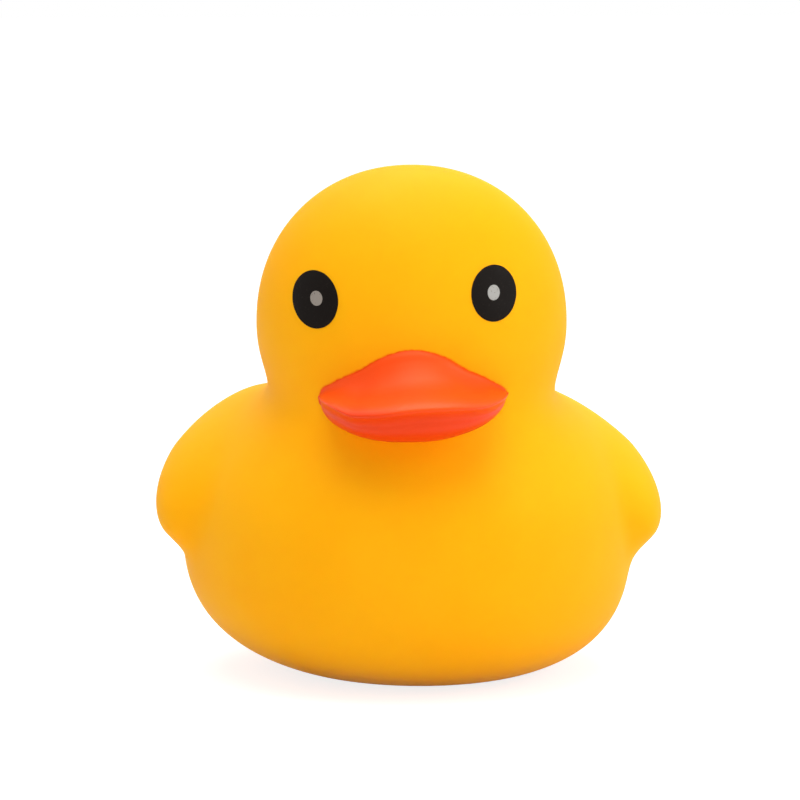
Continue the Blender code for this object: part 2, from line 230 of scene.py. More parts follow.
@dataclass(frozen=True)
class Wings:
    """A drop-shaped pad on each side, blunt in front, narrower and higher at the rear."""

    centre: tuple[float, float, float] = (34.5 * MM, 4.2 * MM, 36.1 * MM)
    front: float = 20.7 * MM
    rear: float = 25.0 * MM
    up: float = 17.0 * MM
    down: float = 10.7 * MM
    outward: float = 8.8 * MM
    inward: float = 17.0 * MM
    lean_deg: float = 47.3
    toe_deg: float = -7.3
    rise_deg: float = 36.0
    taper: float = 0.18
    taper_end: float = 1.5
    least_width: float = 0.4
    powers: tuple[float, float] = (2.15, 1.91)
    skew: float = 0.7 * MM
    skew_width: float = 10.3 * MM

    def frame(self) -> np.ndarray:
        """Make the matrix whose columns are the wing's thickness, length and height.

        Returns:
            A 3 by 3 matrix for the wing on the +X side.
        """
        toe = turn_matrix(Axis.Z, self.toe_deg)
        return toe @ turn_matrix(Axis.Y, -self.lean_deg) @ turn_matrix(Axis.X, self.rise_deg)

    def place(self, points: np.ndarray) -> np.ndarray:
        """Read points in the frame of the wing on their side.

        Args:
            points: Points, one to a row.

        Returns:
            Their places along the wing's thickness, length and height.
        """
        heights = points[:, 2] + self.skew * np.tanh(points[:, 0] / self.skew_width)
        mirrored = np.column_stack([np.abs(points[:, 0]), points[:, 1], heights])
        return (mirrored - np.array(self.centre)) @ self.frame()

    def distance(self, local: np.ndarray) -> np.ndarray:
        """Measure how far points are outside a wing.

        Args:
            local: Points in the wing's frame, one to a row.

        Returns:
            Near-distances, under zero inside.
        """
        width = 1 - self.taper * np.clip(local[:, 1] / self.rear, 0, self.taper_end)
        local = local / np.column_stack([width, np.ones(len(width)), width])
        low = (self.inward, self.front, self.down)
        high = (self.outward, self.rear, self.up)
        pad = Egg((0, 0, 0), low, high, self.powers)
        return pad.distance(local) * np.clip(width, self.least_width, 1)


@dataclass(frozen=True)
class DuckForm:
    """The duck's skin without its bill, and the hollow inside it."""

    body: Egg = Egg(
        (0.0, 2.0 * MM, 26.9 * MM),
        (41.2 * MM, 46.0 * MM, 28.3 * MM),
        (41.2 * MM, 39.0 * MM, 30.3 * MM),
        (2.72, 2.15),
    )
    head: Egg = Egg(
        (0.0, -9.0 * MM, 65.0 * MM),
        (28.0 * MM, 28.0 * MM, 24.9 * MM),
        (28.0 * MM, 28.0 * MM, 28.2 * MM),
        (2.07, 2.1),
    )
    tail: Tail = Tail()
    wings: Wings = Wings()
    bill_core: Egg = Egg(
        (-1.2 * MM, -31.0 * MM, 52.8 * MM),
        (12.0 * MM, 16.0 * MM, 3.4 * MM),
        (12.0 * MM, 16.0 * MM, 3.4 * MM),
    )
    tail_blend: float = 12.0 * MM
    wing_blend: float = 2.6 * MM
    wing_blend_ends: float = 5.0 * MM
    neck_blend_front: float = 20.0 * MM
    neck_blend_rear: float = 9.0 * MM
    neck_front_y: float = -34.0 * MM
    neck_rear_y: float = -6.0 * MM
    core_blend: float = 3.0 * MM
    base_rounding: float = 1.4 * MM
    lean: float = 2.1 * MM
    lean_top: float = 24.0 * MM
    wall: float = 2.0 * MM
    search_start: float = 45.0 * MM
    search_rounds: int = 60
    search_share: float = 0.8

    def skin(self, points: np.ndarray) -> np.ndarray:
        """Measure how far points are outside the skin.

        Args:
            points: Points, one to a row.

        Returns:
            Near-distances, under zero inside.
        """
        lowness = np.clip(1 - points[:, 2] / self.lean_top, 0, 1) ** 2
        points = points - np.stack([self.lean * lowness, 0 * lowness, 0 * lowness], axis=1)
        whole = smooth_join(self.body.distance(points), self.tail.distance(points), self.tail_blend)
        local = self.wings.place(points)
        endward = np.maximum(-local[:, 1] / self.wings.front, local[:, 1] / self.wings.rear)
        outermost = np.clip(endward, 0, 1)
        wing_blend = self.wing_blend + (self.wing_blend_ends - self.wing_blend) * outermost
        whole = smooth_join(whole, self.wings.distance(local), wing_blend)
        rearward = ease(points[:, 1], self.neck_front_y, self.neck_rear_y)
        neck_blend = self.neck_blend_front + (self.neck_blend_rear - self.neck_blend_front) * rearward
        whole = smooth_join(whole, self.head.distance(points), neck_blend)
        return -smooth_join(-whole, points[:, 2], self.base_rounding)

    def hollow(self, points: np.ndarray) -> np.ndarray:
        """Measure how far points are outside the hollow, which runs on into the bill.

        Args:
            points: Points, one to a row.

        Returns:
            Near-distances, under zero inside.
        """
        return smooth_join(self.skin(points) + self.wall, self.bill_core.distance(points), self.core_blend)

    def reach(self, directions: np.ndarray, heights: np.ndarray) -> np.ndarray:
        """Find how far the skin lies from the head's upright axis.

        Args:
            directions: Level unit vectors, one to a row.
            heights: The height at which each one is read.

        Returns:
            The distance from the axis to the skin.
        """
        reach = np.full(len(heights), self.search_start)
        for _ in range(self.search_rounds):
            plan = np.array(self.head.centre[:2]) + directions * reach[:, None]
            reach = reach - self.search_share * self.skin(np.column_stack([plan, heights]))
        return reach


def link(mesh: bpy.types.Mesh, name: str) -> bpy.types.Object:
    """Put a mesh into the scene.

    Args:
        mesh: The mesh.
        name: The new object's name.

    Returns:
        The new object, at the origin.
    """
    obj = bpy.data.objects.new(name, mesh)
    bpy.context.scene.collection.objects.link(obj)
    return obj


def applied(obj: bpy.types.Object, name: str) -> bpy.types.Object:
    """Turn an object and its modifiers into a plain mesh.

    Args:
        obj: The object, which is removed.
        name: The name of the result.

    Returns:
        A new object with no modifier.
    """
    graph = bpy.context.evaluated_depsgraph_get()
    mesh = bpy.data.meshes.new_from_object(obj.evaluated_get(graph))
    bpy.data.objects.remove(obj, do_unlink=True)
    mesh.name = name
    return link(mesh, name)


def solid(name: str, points: np.ndarray, faces: Sequence[tuple[int, ...]]) -> bpy.types.Object:
    """Make a closed object whose faces point outwards.

    Args:
        name: The object's name.
        points: Its vertices, one to a row.
        faces: The vertex numbers of each face.

    Returns:
        The new object.
    """
    mesh = bpy.data.meshes.new(name)
    mesh.from_pydata(points.tolist(), [], faces)
    form = bmesh.new()
    form.from_mesh(mesh)
    bmesh.ops.recalc_face_normals(form, faces=form.faces)
    form.to_mesh(mesh)
    form.free()
    return link(mesh, name)


def combine(obj: bpy.types.Object, other: bpy.types.Object, merge: Merge) -> bpy.types.Object:
    """Join another solid to this one, or cut it away.

    Args:
        obj: The solid that is kept.
        other: The solid that is joined or cut away, which is removed.
        merge: Whether the other solid is joined or cut away.

    Returns:
        The combined solid as a plain mesh.
    """
    modifier = obj.modifiers.new(other.name, "BOOLEAN")
    modifier.operation = merge.value
    modifier.solver = "EXACT"
    modifier.object = other
    whole = applied(obj, obj.name)
    bpy.data.objects.remove(other, do_unlink=True)
    return whole


@dataclass(frozen=True)
class SkinCaster:
    """Casts a surface as a mesh of even quads."""

    room_low: tuple[float, float, float] = (-56.0 * MM, -56.0 * MM, -8.0 * MM)
    room_high: tuple[float, float, float] = (56.0 * MM, 62.0 * MM, 102.0 * MM)
    settle_rounds: int = 5
    relax_rounds: int = 6
    relax_share: float = 0.6
    final_rounds: int = 2
    slope_step: float = 0.02 * MM
    longest_move: float = 3.0 * MM
    least_squared_slope: float = 0.05

    def net(self, distance: Distance, spacing: float) -> tuple[np.ndarray, np.ndarray]:
        """Lay a net close to a surface, with a point in each grid cell that the surface passes through.

        Args:
            distance: Gives how far a point is outside the surface.
            spacing: The size of the grid's cells.

        Returns:
            The net's points, and the numbers of the four points round each cut grid line.
        """
        axes = [np.arange(low, high, spacing) for low, high in zip(self.room_low, self.room_high)]
        corners = np.stack(np.meshgrid(*axes, indexing="ij"), axis=-1)
        counts = np.array(corners.shape[:3])
        inside = np.concatenate([distance(sheet.reshape(-1, 3)) < 0 for sheet in corners]).reshape(counts)
        total = np.zeros(counts - 1, int)
        for step in np.ndindex(2, 2, 2):
            total += inside[tuple(slice(step[axis], counts[axis] - 1 + step[axis]) for axis in range(3))]
        cut = (total > 0) & (total < 2**3)
        number = np.full(cut.shape, -1)
        number[cut] = np.arange(cut.sum())
        quads = []
        for axis in range(3):
            here, there = np.moveaxis(inside, axis, 0)[:-1], np.moveaxis(inside, axis, 0)[1:]
            for leaving in (True, False):
                places = np.argwhere((here & ~there) if leaving else (there & ~here))
                cells = np.empty_like(places)
                others = [other for other in range(3) if other != axis]
                cells[:, axis], cells[:, others[0]], cells[:, others[1]] = places.T
                # The four cells round a grid line that runs along this axis.
                ring = np.zeros((4, 3), int)
                ring[:, (axis + 1) % 3] = (-1, 0, 0, -1)
                ring[:, (axis + 2) % 3] = (-1, -1, 0, 0)
                around = cells[:, None] + (ring if leaving else ring[::-1])
                quads.append(number[around[..., 0], around[..., 1], around[..., 2]])
        return corners[:-1, :-1, :-1][cut] + spacing / 2, np.concatenate(quads)

    def settled(self, points: np.ndarray, distance: Distance, rounds: int) -> np.ndarray:
        """Move points onto a surface.

        Args:
            points: Points, one to a row.
            distance: Gives how far a point is outside the surface.
            rounds: How many steps are taken.

        Returns:
            The moved points.
        """
        for _ in range(rounds):
            here = distance(points)
            slope = np.empty_like(points)
            for axis in range(3):
                shift = np.zeros(3)
                shift[axis] = self.slope_step
                slope[:, axis] = (distance(points + shift) - here) / self.slope_step
            squared = np.maximum((slope**2).sum(axis=1), self.least_squared_slope)
            move = np.clip(here / squared, -self.longest_move, self.longest_move)
            points = points - move[:, None] * slope
        return points

    def relaxed(self, points: np.ndarray, edges: np.ndarray, distance: Distance) -> np.ndarray:
        """Spread points evenly over a surface.

        Args:
            points: Points on the surface, one to a row.
            edges: Pairs of neighbouring points.
            distance: Gives how far a point is outside the surface.

        Returns:
            The moved points.
        """
        ends = np.concatenate([edges, edges[:, ::-1]])
        total = np.bincount(ends[:, 0], minlength=len(points))[:, None]
        for _ in range(self.relax_rounds):
            sums = [np.bincount(ends[:, 0], points[ends[:, 1], axis], len(points)) for axis in range(3)]
            points = points + self.relax_share * (np.stack(sums, axis=1) / total - points)
            points = self.settled(points, distance, 1)
        return self.settled(points, distance, self.final_rounds)

    def cast(self, name: str, distance: Distance, spacing: float) -> bpy.types.Object:
        """Cast a surface.

        Args:
            name: The object's name.
            distance: Gives how far a point is outside the surface.
            spacing: About the size of the quads.

        Returns:
            A closed object whose vertices lie on the surface.
        """
        points, quads = self.net(distance, spacing)
        mesh = bpy.data.meshes.new(name)
        mesh.from_pydata(points.tolist(), [], quads.tolist())
        edges = np.empty(len(mesh.edges) * 2, int)
        mesh.edges.foreach_get("vertices", edges)
        points = self.settled(points, distance, self.settle_rounds)
        points = self.relaxed(points, edges.reshape(-1, 2), distance)
        mesh.vertices.foreach_set("co", points.reshape(-1))
        mesh.update()
        return link(mesh, name)


@dataclass(frozen=True)
class Bill:
    """A broad, flat spoon over a lower half that stands back from its lip."""

    form: DuckForm
    turn_deg: float = 3.4
    lip_half_width: float = 16.5 * MM
    lip_centre_reach: float = 24.6 * MM
    lip_forward: float = 16.4 * MM
    lip_sweep_deg: float = 111.0
    root_angles_deg: tuple[float, ...] = (-11.0, 0.0, 11.0, 20.0, 27.3, 32.6, 35.6, 37.2, 40.0)
    root_tops_mm: tuple[float, ...] = (61.65, 62.9, 61.65, 59.15, 57.6, 56.3, 55.6, 54.95, 54.3)
    root_lows_mm: tuple[float, ...] = (47.2, 46.9, 47.2, 48.35, 49.85, 51.5, 52.75, 53.5, 54.1)
    lip_offsets_mm: tuple[float, ...] = (-17.0, -14.7, -11.4, -7.6, 0.0, 8.0, 13.1, 17.0)
    lip_heights_mm: tuple[float, ...] = (54.3, 53.75, 52.65, 52.8, 54.0, 54.15, 54.0, 54.85)
    upper_profile: tuple[tuple[float, float], ...] = (
        (-0.22, 1.16), (0.03, 0.96), (0.1, 0.8), (0.2, 0.62), (0.33, 0.46), (0.49, 0.335), (0.65, 0.25),
        (0.79, 0.18), (0.9, 0.115), (0.965, 0.06), (0.995, 0.015),
    )
    lower_profile: tuple[tuple[float, float], ...] = (
        (0.985, -0.05), (0.93, -0.13), (0.86, -0.25), (0.82, -0.35), (0.8, -0.47), (0.74, -0.63),
        (0.6, -0.8), (0.34, -0.93), (0.05, -1.0), (-0.22, -1.04),
    )
    root_low_shift_deg: float = 2.2
    least_overhang: float = 1.0 * MM
    columns: int = 160
    profile_steps: int = 5

    def profile(self) -> np.ndarray:
        """Run a smooth curve through the points of the upper and the lower profile.

        Returns:
            Pairs of the reach from skin to lip and the height from lip to root, one to a row.
        """
        corners = np.array(self.upper_profile + self.lower_profile)
        along = np.concatenate([[0], np.cumsum(np.hypot(*np.diff(corners, axis=0).T))])
        places = np.arange((len(along) - 1) * self.profile_steps + 1) / self.profile_steps
        at = np.interp(places, np.arange(len(along)), along)
        return np.column_stack([smooth_table(at, along, corners[:, axis]) for axis in range(2)])

    def points(self) -> np.ndarray:
        """Lay out the bill's surface.

        Returns:
            Points as an array of columns by profile steps by three.
        """
        sweep = np.radians(np.linspace(-self.lip_sweep_deg, self.lip_sweep_deg, self.columns + 1))
        across = self.lip_half_width * np.sin(sweep)
        forward = self.lip_centre_reach + self.lip_forward * np.cos(sweep)
        angle, lip_reach = np.arctan2(across, forward), np.hypot(across, forward)
        turn = angle - math.radians(self.turn_deg)
        directions = np.column_stack([np.sin(turn), -np.cos(turn)])
        top = smooth_table(np.abs(np.degrees(angle)), self.root_angles_deg, self.root_tops_mm) * MM
        low_angle = np.abs(np.degrees(angle) + self.root_low_shift_deg)
        low = smooth_table(low_angle, self.root_angles_deg, self.root_lows_mm) * MM
        lip = np.clip(smooth_table(across / MM, self.lip_offsets_mm, self.lip_heights_mm) * MM, low, top)
        rows = []
        for reach_part, height_part in self.profile():
            height = lip + height_part * (top - lip if height_part > 0 else lip - low)
            skin = self.form.reach(directions, np.clip(height, low, top))
            overhang = lip_reach - skin
            reach = skin + reach_part * np.maximum(overhang, self.least_overhang) + np.minimum(overhang, 0)
            plan = np.array(self.form.head.centre[:2]) + directions * reach[:, None]
            rows.append(np.column_stack([plan, height]))
        return np.array(rows).transpose(1, 0, 2)

    def build(self) -> bpy.types.Object:
        """Build the bill.

        Returns:
            A closed object whose root ends inside the head's wall.
        """
        grid = self.points()
        columns, steps = grid.shape[:2]
        faces: list[tuple[int, ...]] = []
        for column in range(columns - 1):
            for step in range(steps):
                after = (step + 1) % steps
                here, there = column * steps, (column + 1) * steps
                faces.append((here + step, here + after, there + after, there + step))
        faces.append(tuple(range(steps)))
        faces.append(tuple(reversed(range((columns - 1) * steps, columns * steps))))
        return solid("bill", grid.reshape(-1, 3), faces)


@dataclass(frozen=True)
class Vent:
    """The round hole trimmed in the base, with an eased edge."""

    radius: float = 4.0 * MM
    easing: float = 0.5 * MM
    depth: float = 6.0 * MM
    sides: int = 72
    easing_steps: int = 6

    def build(self) -> bpy.types.Object:
        """Build the cutter of the hole.

        Returns:
            A closed object that is cut from the base.
        """
        levels = [(self.radius + 2 * self.easing, -self.easing)]
        for turn in np.linspace(0, math.pi / 2, self.easing_steps + 1):
            inset = self.easing * (1 - math.cos(turn))
            levels.append((self.radius + self.easing - self.easing * math.sin(turn), inset))
        levels.append((self.radius, self.depth))
        turns = np.linspace(0, 2 * math.pi, self.sides, endpoint=False)
        circle = np.column_stack([np.cos(turns), np.sin(turns)])
        points = [
            np.column_stack([circle * radius, np.full(self.sides, height)]) for radius, height in levels
        ]
        last = (len(levels) - 1) * self.sides
        faces = [tuple(range(self.sides)), tuple(reversed(range(last, last + self.sides)))]
        for level in range(len(levels) - 1):
            for side in range(self.sides):
                after = (side + 1) % self.sides
                near, far = level * self.sides, (level + 1) * self.sides
                faces.append((near + side, near + after, far + after, far + side))
        return solid("vent cutter", np.concatenate(points), faces)


@dataclass(frozen=True)
class NodeBench:
    """Adds nodes to one tree and links them."""

    tree: bpy.types.NodeTree

    def add(
        self, kind: str, inputs: dict[str | int, object] | None = None, **settings: object
    ) -> bpy.types.Node:
        """Add a node.

        Args:
            kind: Blender's name of the node's type.
            inputs: A value or a socket for each named or numbered input.
            **settings: Values of the node's own properties.

        Returns:
            The new node.
        """
        node = self.tree.nodes.new(kind)
        for name, value in settings.items():
            setattr(node, name, value)
        for place, value in (inputs or {}).items():
            if isinstance(value, bpy.types.NodeSocket):
                self.tree.links.new(value, node.inputs[place])
            else:
                node.inputs[place].default_value = value
        return node

    def maths(self, operation: str, *values: object, clamp: bool = False) -> bpy.types.NodeSocket:
        """Add a Math node.

        Args:
            operation: Blender's name of the operation.
            *values: Its numbers or sockets.
            clamp: Whether the result is kept between 0 and 1.

        Returns:
            The node's output socket.
        """
        node = self.add("ShaderNodeMath", dict(enumerate(values)), operation=operation, use_clamp=clamp)
        return node.outputs[0]

    def spread(
        self, value: object, low: object, high: object, to_low: float, to_high: float
    ) -> bpy.types.NodeSocket:
        """Add a smooth Map Range node.

        Args:
            value: The socket that is read.
            low: The value that becomes to_low.
            high: The value that becomes to_high.
            to_low: The result at low.
            to_high: The result at high.

        Returns:
            The node's output socket.
        """
        places = {0: value, 1: low, 2: high, 3: to_low, 4: to_high}
        return self.add("ShaderNodeMapRange", places, interpolation_type="SMOOTHSTEP").outputs[0]

    def blend(self, share: object, first: object, second: object) -> bpy.types.NodeSocket:
        """Add a colour mix.

        Args:
            share: How much of the second colour is seen.
            first: The first colour or socket.
            second: The second colour or socket.

        Returns:
            The mixed colour's socket.
        """
        places = {0: share, 6: first, 7: second}
        return self.add("ShaderNodeMix", places, data_type="RGBA").outputs[2]


def paint_of(colour: Colour) -> tuple[float, float, float, float]:
    """Give a colour its full cover.

    Args:
        colour: Red, green and blue.

    Returns:
        The same with an alpha of 1.
    """
    return (*colour, 1.0)


def moulded_grain() -> bpy.types.NodeTree:
    """Build the group that both skins of the moulding share.

    Returns:
        A group that puts out the height of a faint orange peel and a slow, cloudy mask.
    """
    fine_ratio, fine_share = 4.3, 0.25
    cloud_low, cloud_high = 0.35, 0.65
    group = bpy.data.node_groups.new("moulded grain", "ShaderNodeTree")
    for name in ("Peel Scale", "Peel Depth", "Cloud Scale"):
        group.interface.new_socket(name, in_out="INPUT", socket_type="NodeSocketFloat")
    for name in ("Height", "Cloud"):
        group.interface.new_socket(name, in_out="OUTPUT", socket_type="NodeSocketFloat")
    bench = NodeBench(group)
    given = bench.add("NodeGroupInput").outputs
    place = bench.add("ShaderNodeTexCoord").outputs["Object"]
    peel = bench.add("ShaderNodeTexNoise", {"Vector": place, "Scale": given["Peel Scale"], "Detail": 2.0})
    fine_scale = bench.maths("MULTIPLY", given["Peel Scale"], fine_ratio)
    fine = bench.add("ShaderNodeTexNoise", {"Vector": place, "Scale": fine_scale, "Detail": 1.0})
    cloud = bench.add("ShaderNodeTexNoise", {"Vector": place, "Scale": given["Cloud Scale"], "Detail": 3.0})
    both = bench.maths("MULTIPLY_ADD", fine.outputs[0], fine_share, peel.outputs[0])
    height = bench.maths("MULTIPLY", both, given["Peel Depth"])
    mask = bench.spread(cloud.outputs[0], cloud_low, cloud_high, 0.0, 1.0)
    bench.add("NodeGroupOutput", {"Height": height, "Cloud": mask})
    return group


class PaintEdge(Enum):
    """The attributes that carry the edge of the bill's paint."""

    EDGE = "bill_edge"
    FADE = "bill_fade"


def paint_cover() -> bpy.types.NodeTree:
    """Build the group that ends the bill's paint.

    It reads the signed distance from the bill's root, in millimetres, and how soft the edge is there.

    Returns:
        A group that puts out how much paint covers the vinyl.
    """
    ragged_scale = 900.0
    group = bpy.data.node_groups.new("paint cover", "ShaderNodeTree")
    for name in ("Hard Edge", "Soft Edge", "Creep", "Raggedness"):
        group.interface.new_socket(name, in_out="INPUT", socket_type="NodeSocketFloat")
    group.interface.new_socket("Cover", in_out="OUTPUT", socket_type="NodeSocketFloat")
    bench = NodeBench(group)
    given = bench.add("NodeGroupInput").outputs
    edge = bench.add("ShaderNodeAttribute", attribute_name=PaintEdge.EDGE.value).outputs["Fac"]
    fade = bench.add("ShaderNodeAttribute", attribute_name=PaintEdge.FADE.value).outputs["Fac"]
    place = bench.add("ShaderNodeTexCoord").outputs["Object"]
    ragged = bench.add("ShaderNodeTexNoise", {"Vector": place, "Scale": ragged_scale, "Detail": 3.0})
    centred = bench.maths("SUBTRACT", ragged.outputs[0], 0.5)
    waver = bench.maths("MULTIPLY", centred, given["Raggedness"])
    soft_part = bench.maths("MULTIPLY", fade, given["Soft Edge"])
    outer = bench.maths("MULTIPLY", given["Creep"], bench.maths("SUBTRACT", 1.0, fade))
    width = bench.maths("ADD", given["Hard Edge"], soft_part)
    inner = bench.maths("SUBTRACT", outer, width)
    cover = bench.spread(bench.maths("ADD", edge, waver), inner, outer, 1.0, 0.0)
    bench.add("NodeGroupOutput", {"Cover": cover})
    return group


@dataclass(frozen=True)
class Vinyl:
    """Soft yellow vinyl with a satin skin, and the finish of the paint sprayed on its bill, with painted
    shade darkening that paint below the lip.
    """

    name: str
    plain: Colour = (0.98, 0.405, 0.002)
    deep: Colour = (0.975, 0.385, 0.001)
    painted: Colour = (0.86, 0.066, 0.001)
    painted_deep: Colour = (0.82, 0.056, 0.001)
    # Painted shade: below the lip the paint's colour turns darker and redder with falling height, standing
    # in for the shade under the lip.
    painted_shade_under_lip: Colour = (0.74, 0.034, 0.001)
    shade_full_below: float = 52.5 * MM
    shade_none_above: float = 54.6 * MM
    roughness: float = 0.6
    painted_roughness: float = 0.4
    shine: float = 0.11
    shine_tint: Colour = (1.0, 0.86, 0.5)
    soft_light: float = 0.35
    soft_radius: Colour = (6.0, 3.6, 0.6)
    peel_scale: float = 1100.0
    peel_depth: float = 0.5
    peel_distance: float = 0.012 * MM
    cloud_scale: float = 38.0
    cloud_roughness: float = 0.05
    hard_edge: float = 0.5
    soft_edge: float = 1.9
    creep: float = 0.45
    raggedness: float = 0.5

    def material(self, grain: bpy.types.NodeTree, cover: bpy.types.NodeTree) -> bpy.types.Material:
        """Build the material.

        Args:
            grain: The group of the moulded grain.
            cover: The group that ends the paint.

        Returns:
            The material.
        """
        material = bpy.data.materials.new(self.name)
        material.use_nodes = True
        material.node_tree.nodes.clear()
        bench = NodeBench(material.node_tree)
        surface = bench.add(
            "ShaderNodeGroup",
            {"Peel Scale": self.peel_scale, "Peel Depth": self.peel_depth, "Cloud Scale": self.cloud_scale},
            node_tree=grain,
        )
        edge = bench.add(
            "ShaderNodeGroup",
            {
                "Hard Edge": self.hard_edge,
                "Soft Edge": self.soft_edge,
                "Creep": self.creep,
                "Raggedness": self.raggedness,
            },
            node_tree=cover,
        )
        cloud, paint = surface.outputs["Cloud"], edge.outputs["Cover"]
        vinyl = bench.blend(cloud, paint_of(self.plain), paint_of(self.deep))
        # The first blend is the paint's own tone. The height mask below is painted shade: it darkens the
        # paint under the lip, where shade falls, and is not a thicker coat.
        thin = bench.blend(cloud, paint_of(self.painted), paint_of(self.painted_deep))
        place = bench.add("ShaderNodeTexCoord").outputs["Object"]
        height = bench.add("ShaderNodeSeparateXYZ", {0: place}).outputs["Z"]
        thickness = bench.spread(height, self.shade_full_below, self.shade_none_above, 1.0, 0.0)
        sprayed = bench.blend(thickness, thin, paint_of(self.painted_shade_under_lip))
        colour = bench.blend(paint, vinyl, sprayed)
        gloss = bench.spread(paint, 0.0, 1.0, self.roughness, self.painted_roughness)
        roughness = bench.maths("MULTIPLY_ADD", cloud, self.cloud_roughness, gloss)
        bump = bench.add(
            "ShaderNodeBump", {"Height": surface.outputs["Height"], "Distance": self.peel_distance}
        )
        shader = bench.add(
            "ShaderNodeBsdfPrincipled",
            {
                "Base Color": colour,
                "Roughness": roughness,
                "Specular IOR Level": self.shine,
                "Specular Tint": paint_of(self.shine_tint),
                "Subsurface Weight": self.soft_light,
                "Subsurface Radius": self.soft_radius,
                "Subsurface Scale": MM,
                "Normal": bump.outputs[0],
            },
        )
        bench.add("ShaderNodeOutputMaterial", {"Surface": shader.outputs[0]})
        return material


@dataclass(frozen=True)
class PrintInk:
    """Pad-printed ink, with faint pinholes and rubs."""

    name: str
    colour: Colour
    rubbed: Colour
    roughness: float
    shine: float
    peel_scale: float = 1100.0
    peel_depth: float = 0.5
    peel_distance: float = 0.01 * MM
    cloud_scale: float = 420.0
    cloud_roughness: float = 0.08
    speck_scale: float = 2600.0
    speck_low: float = 0.6
    speck_high: float = 0.72

    def material(self, grain: bpy.types.NodeTree) -> bpy.types.Material:
        """Build the material.

        Args:
            grain: The group of the moulded grain.

        Returns:
            The material.
        """
        material = bpy.data.materials.new(self.name)
        material.use_nodes = True
        material.node_tree.nodes.clear()
        bench = NodeBench(material.node_tree)
        surface = bench.add(
            "ShaderNodeGroup",
            {"Peel Scale": self.peel_scale, "Peel Depth": self.peel_depth, "Cloud Scale": self.cloud_scale},
            node_tree=grain,
        )
        place = bench.add("ShaderNodeTexCoord").outputs["Object"]
        speck = bench.add("ShaderNodeTexNoise", {"Vector": place, "Scale": self.speck_scale, "Detail": 2.0})
        rub = bench.spread(speck.outputs[0], self.speck_low, self.speck_high, 0.0, 1.0)
        colour = bench.blend(rub, paint_of(self.colour), paint_of(self.rubbed))
        roughness = bench.maths(
            "MULTIPLY_ADD", surface.outputs["Cloud"], self.cloud_roughness, self.roughness
        )
        bump = bench.add(
            "ShaderNodeBump", {"Height": surface.outputs["Height"], "Distance": self.peel_distance}
        )
        shader = bench.add(
            "ShaderNodeBsdfPrincipled",
            {
                "Base Color": colour,
                "Roughness": roughness,
                "Specular IOR Level": self.shine,
                "Normal": bump.outputs[0],
            },
        )
        bench.add("ShaderNodeOutputMaterial", {"Surface": shader.outputs[0]})
        return material


@dataclass(frozen=True)
class Moulding:
    """The hollow moulding: skin, bill, hollow and vent, with its paint's edge marked on it."""

    form: DuckForm
    bill: Bill
    vent: Vent
    skin_spacing: float = 0.8 * MM
    hollow_spacing: float = 1.9 * MM
    quick_coarseness: float = 2.0
    root_samples: int = 5
    edge_reach: float = 14.0 * MM
    crease_deg: float = 32.0
    fade_top: float = 53.3 * MM
    fade_bottom: float = 50.6 * MM

    def build(self, vinyl: bpy.types.Material, paint: bpy.types.Material) -> bpy.types.Object:
        """Build the moulding.

        Args:
            vinyl: The bare vinyl's material.
            paint: The painted bill's material.

        Returns:
            The moulding as one closed object.
        """
        caster = SkinCaster()
        coarser = 1.0
        duck = caster.cast("duck", self.form.skin, self.skin_spacing * coarser)
        hollow = caster.cast("hollow", self.form.hollow, self.hollow_spacing * coarser)
        bill, vent = self.bill.build(), self.vent.build()
        for obj, slot in ((duck, BARE), (bill, PAINTED), (hollow, BARE), (vent, BARE)):
            obj.data.materials.append(vinyl)
            obj.data.materials.append(paint)
            obj.data.polygons.foreach_set("material_index", [slot] * len(obj.data.polygons))
        duck = combine(duck, bill, Merge.JOIN)
        self.mark_edge(duck.data)
        duck = combine(duck, hollow, Merge.CUT_AWAY)
        duck = combine(duck, vent, Merge.CUT_AWAY)
        duck.data.shade_smooth()
        duck.data.set_sharp_from_angle(angle=math.radians(self.crease_deg))
        return duck

    def mark_edge(self, mesh: bpy.types.Mesh) -> None:
        """Mark how far each vertex is from the bill's root, under zero on the bill, in millimetres.

        Args:
            mesh: The joined mesh, whose second material is the bill's.
        """
        points = np.empty(len(mesh.vertices) * 3)
        mesh.vertices.foreach_get("co", points)
        points = points.reshape(-1, 3)
        slots = np.empty(len(mesh.polygons), int)
        mesh.polygons.foreach_get("material_index", slots)
        sizes = np.empty(len(mesh.polygons), int)
        mesh.polygons.foreach_get("loop_total", sizes)
        edge_of, vertex_of = np.empty(len(mesh.loops), int), np.empty(len(mesh.loops), int)
        mesh.loops.foreach_get("edge_index", edge_of)
        mesh.loops.foreach_get("vertex_index", vertex_of)
        painted = np.repeat(slots, sizes) == PAINTED
        count = np.bincount(edge_of, painted, len(mesh.edges))
        ends = np.empty(len(mesh.edges) * 2, int)
        mesh.edges.foreach_get("vertices", ends)
        root = ends.reshape(-1, 2)[count == 1]
        parts = np.linspace(0, 1, self.root_samples)[:, None, None]
        line = (points[root[:, 0]] * (1 - parts) + points[root[:, 1]] * parts).reshape(-1, 3)
        tree = KDTree(len(line))
        for number, point in enumerate(line):
            tree.insert(point, number)
        tree.balance()
        on_bill = np.bincount(vertex_of, painted, len(points)) > 0
        low, high = line.min(axis=0) - self.edge_reach, line.max(axis=0) + self.edge_reach
        near = ((points > low) & (points < high)).all(axis=1)
        edge = np.full(len(points), self.edge_reach / MM)
        for number in np.flatnonzero(near | on_bill):
            edge[number] = tree.find(points[number])[2] / MM
        edge[on_bill] *= -1
        for name, values in (
            (PaintEdge.EDGE, edge),
            (PaintEdge.FADE, 1 - ease(points[:, 2], self.fade_bottom, self.fade_top)),
        ):
            attribute = mesh.attributes.new(name.value, "FLOAT", "POINT")
            attribute.data.foreach_set("value", values.astype(np.float32))


class PrintInput(Enum):
    """The named inputs of the eye prints' tree."""

    SKIN = "Skin"
    MIDDLE_X = "Middle X"
    MIDDLE_Z = "Middle Z"
    HALF_WIDTH = "Half Width"
    HALF_HEIGHT = "Half Height"
    RISE = "Rise"
    RAGGEDNESS = "Raggedness"
    INK = "Ink"


